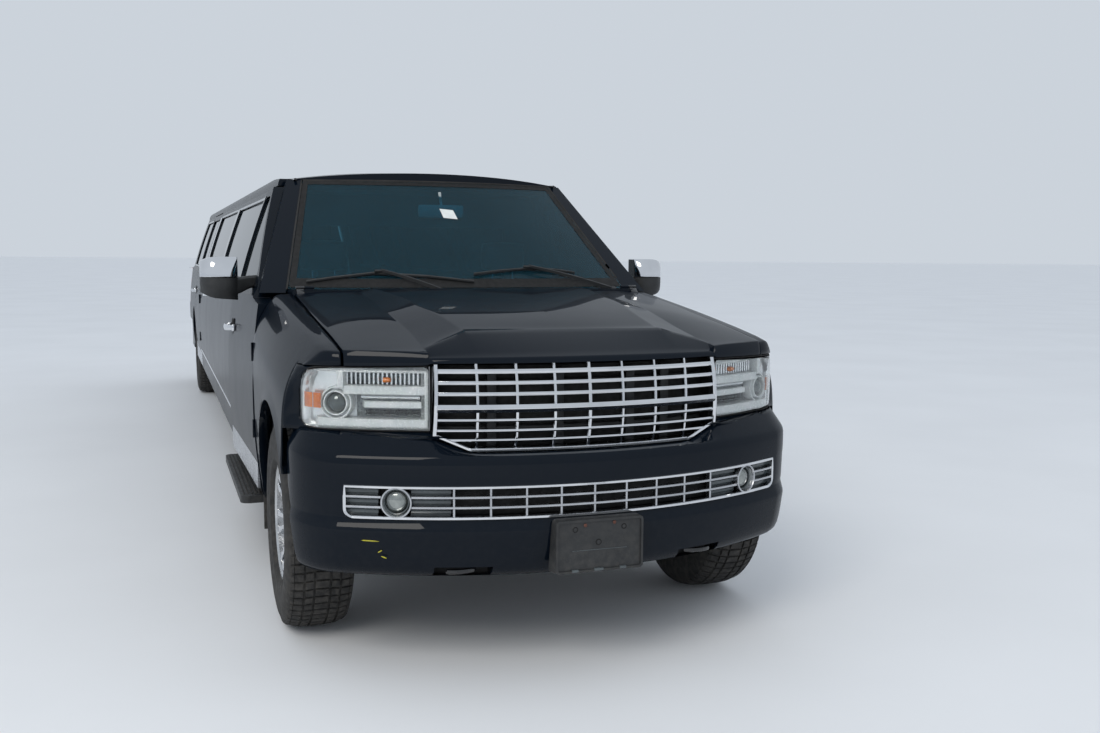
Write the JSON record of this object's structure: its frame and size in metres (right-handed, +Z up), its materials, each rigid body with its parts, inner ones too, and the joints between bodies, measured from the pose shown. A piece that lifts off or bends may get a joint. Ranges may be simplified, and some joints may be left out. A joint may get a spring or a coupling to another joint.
{
  "type": "stretched sport utility vehicle",
  "caption": "Long-wheelbase luxury sport utility vehicle with hinged doors, hood and liftgate, steered front wheels, a side-bench saloon and fold-out running boards.",
  "frame": {"origin": "on the ground under the middle of the vehicle's length and width", "axes": "+Z up, the nose faces -Y, +X is the vehicle's left"},
  "size_m": [2.3722, 9.865, 1.93],
  "materials": {
    "paint": "gloss black paint with a blue cast",
    "chrome_trim": "bright plated trim",
    "glass": "dark tinted glass",
    "lamp": "clear lens over a bright reflector",
    "red_lamp": "red lens",
    "black_plastic": "grained black plastic",
    "tyre": "black tyre rubber",
    "alloy": "machined alloy",
    "iron": "dark cast metal",
    "frame_steel": "satin black chassis paint",
    "seat_leather": "black leather",
    "veneer": "dark lacquered veneer"
  },
  "bodies": {
    "body": {"arch_liners": "black_plastic", "bar_cabinet": "veneer", "body_side_left": "paint", "body_side_right": "paint", "chassis_frame": "frame_steel", "cowl": "paint", "dashboard": "black_plastic", "engine_block": "iron", "exhaust": "frame_steel", "fender_left": "paint", "fender_right": "paint", "floor_pan": "frame_steel", "front_bumper": "paint", "front_seats": "seat_leather", "front_suspension": "iron", "fuel_tank": "frame_steel", "grille": "chrome_trim", "headlamps": "lamp", "lower_grille": "chrome_trim", "partition": "black_plastic", "plate_bracket": "black_plastic", "radiator": "alloy", "rear_axle": "iron", "rear_bumper": "paint", "roof_panel": "paint", "running_boards": "black_plastic", "saloon_seats": "seat_leather", "side_glass": "glass", "tail_lamps": "red_lamp", "windshield": "glass"},
    "hood": {"hood": "paint"},
    "liftgate": {"liftgate": "paint", "liftgate_glass": "glass"},
    "door_front_left": {"door_front_left": "paint", "glass_front_left": "glass", "mirror_left": "chrome_trim"},
    "door_rear_left": {"door_rear_left": "paint", "glass_rear_left": "glass"},
    "knuckle_left": {"knuckle_left": "iron"},
    "wheel_front_left": {"rim_front_left": "alloy", "tyre_front_left": "tyre"},
    "wheel_rear_left": {"rim_rear_left": "alloy", "tyre_rear_left": "tyre"},
    "door_front_right": {"door_front_right": "paint", "glass_front_right": "glass", "mirror_right": "chrome_trim"},
    "door_rear_right": {"door_rear_right": "paint", "glass_rear_right": "glass"},
    "knuckle_right": {"knuckle_right": "iron"},
    "wheel_front_right": {"rim_front_right": "alloy", "tyre_front_right": "tyre"},
    "wheel_rear_right": {"rim_rear_right": "alloy", "tyre_rear_right": "tyre"}
  },
  "joints": [
    {"name": "hood_hinge", "type": "hinge", "parent": "body", "child": "hood", "pos_m": [0, -3.3805, 1.3], "axis": [-1, 0, 0], "range_deg": [0, 48]},
    {"name": "liftgate_hinge", "type": "hinge", "parent": "body", "child": "liftgate", "pos_m": [0, 4.5365, 1.914], "axis": [1, 0, 0], "range_deg": [0, 84]},
    {"name": "door_front_left_hinge", "type": "hinge", "parent": "body", "child": "door_front_left", "pos_m": [1.001, -3.3385, 0.8], "axis": [0, 0, -1], "range_deg": [0, 66]},
    {"name": "door_rear_left_hinge", "type": "hinge", "parent": "body", "child": "door_rear_left", "pos_m": [1.001, 2.2115, 0.8], "axis": [0, 0, -1], "range_deg": [0, 66]},
    {"name": "steer_left", "type": "hinge", "parent": "body", "child": "knuckle_left", "pos_m": [0.742, -3.9825, 0.4], "axis": [0, 0, 1], "range_deg": [-33, 33]},
    {"name": "wheel_front_left_spin", "type": "hinge", "parent": "knuckle_left", "child": "wheel_front_left", "pos_m": [0.851, -3.9825, 0.407], "axis": [1, 0, 0], "continuous": true},
    {"name": "wheel_rear_left_spin", "type": "hinge", "parent": "body", "child": "wheel_rear_left", "pos_m": [0.8535, 3.6125, 0.407], "axis": [1, 0, 0], "continuous": true},
    {"name": "door_front_right_hinge", "type": "hinge", "parent": "body", "child": "door_front_right", "pos_m": [-1.001, -3.3385, 0.8], "axis": [0, 0, 1], "range_deg": [-1.4, 66]},
    {"name": "door_rear_right_hinge", "type": "hinge", "parent": "body", "child": "door_rear_right", "pos_m": [-1.001, 2.2115, 0.8], "axis": [0, 0, 1], "range_deg": [0, 66]},
    {"name": "steer_right", "type": "hinge", "parent": "body", "child": "knuckle_right", "pos_m": [-0.742, -3.9825, 0.4], "axis": [0, 0, 1], "range_deg": [-33, 33]},
    {"name": "wheel_front_right_spin", "type": "hinge", "parent": "knuckle_right", "child": "wheel_front_right", "pos_m": [-0.851, -3.9825, 0.407], "axis": [1, 0, 0], "continuous": true},
    {"name": "wheel_rear_right_spin", "type": "hinge", "parent": "body", "child": "wheel_rear_right", "pos_m": [-0.8535, 3.6125, 0.407], "axis": [1, 0, 0], "continuous": true}
  ],
  "couplings": [
    {"joint": "steer_right", "follows": "steer_left", "ratio": 1}
  ]
}
